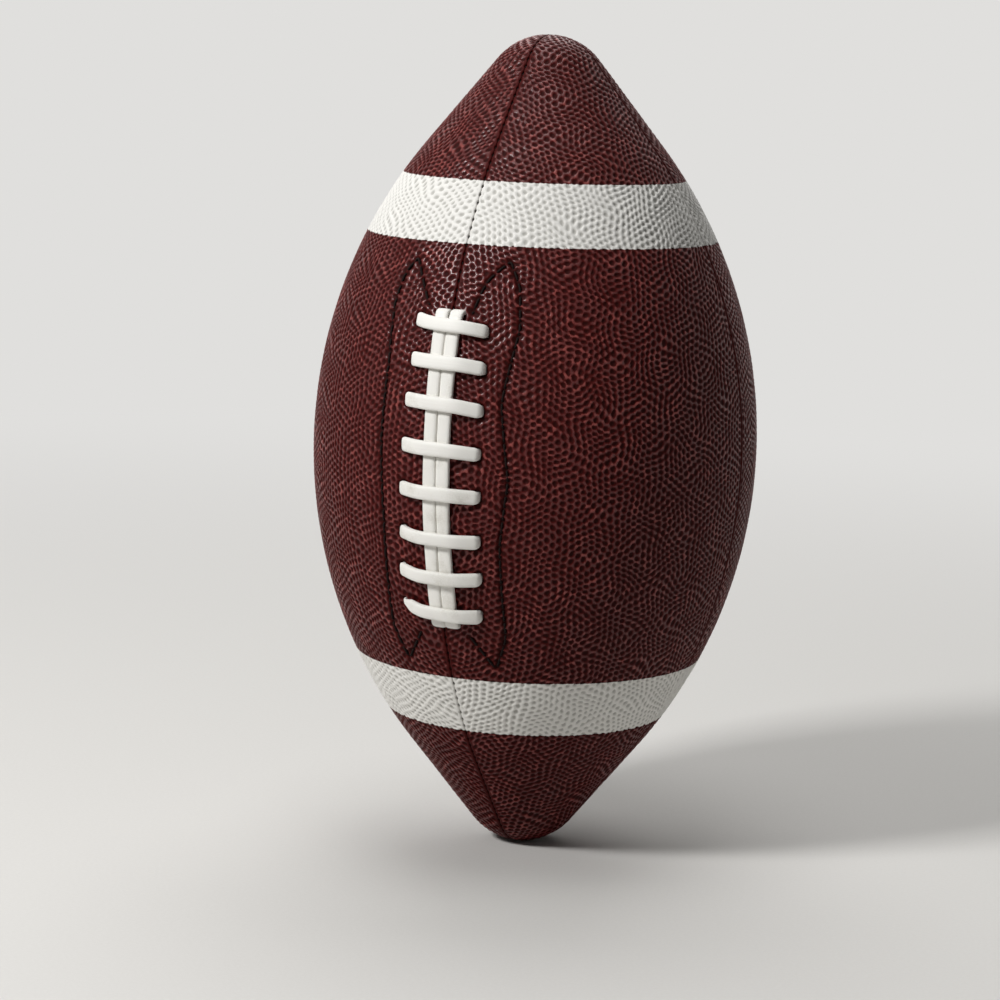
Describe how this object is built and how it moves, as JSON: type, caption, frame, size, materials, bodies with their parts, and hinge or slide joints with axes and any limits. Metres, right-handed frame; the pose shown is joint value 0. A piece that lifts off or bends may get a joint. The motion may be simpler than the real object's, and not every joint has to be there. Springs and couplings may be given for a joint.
{
  "type": "american football",
  "caption": "Junior american football: sewn pebbled brown panels with white bands, laced along the front over a lined bladder, with a needle valve at the back.",
  "frame": {"origin": "tip of the lower nose, where the ball sits in the ring of a tray, stand or tee", "axes": "+Z along the ball's long axis, -Y towards the lacing, +X to the right of the lacing seen from the front"},
  "size_m": [0.148, 0.1522, 0.2716],
  "materials": {
    "cover": "pebbled composite leather, red-brown, half matt, with two white painted bands",
    "lace": "soft white vinyl, half matt",
    "thread": "dark waxed sewing thread",
    "lining": "woven cotton laminate",
    "facing": "plain backing leather",
    "tongue": "dense felt",
    "bladder_rubber": "smooth butyl",
    "valve_rubber": "moulded rubber"
  },
  "bodies": {
    "root": {"bladder": "bladder_rubber", "valve_boot": "valve_rubber", "valve_plug": "valve_rubber", "lace_tongue": "tongue", "lace": "lace", "panel_lace_left": "cover", "panel_lace_right": "cover", "panel_back_left": "cover", "panel_back_right": "cover", "lining_lace_left": "lining", "lining_lace_right": "lining", "lining_back_left": "lining", "lining_back_right": "lining", "lace_facing_left": "facing", "lace_facing_right": "facing", "facing_thread_left": "thread", "facing_thread_right": "thread", "seam_thread_left": "thread", "seam_thread_right": "thread", "seam_thread_back": "thread", "seam_thread_front_upper": "thread", "seam_thread_front_lower": "thread"}
  },
  "joints": []
}
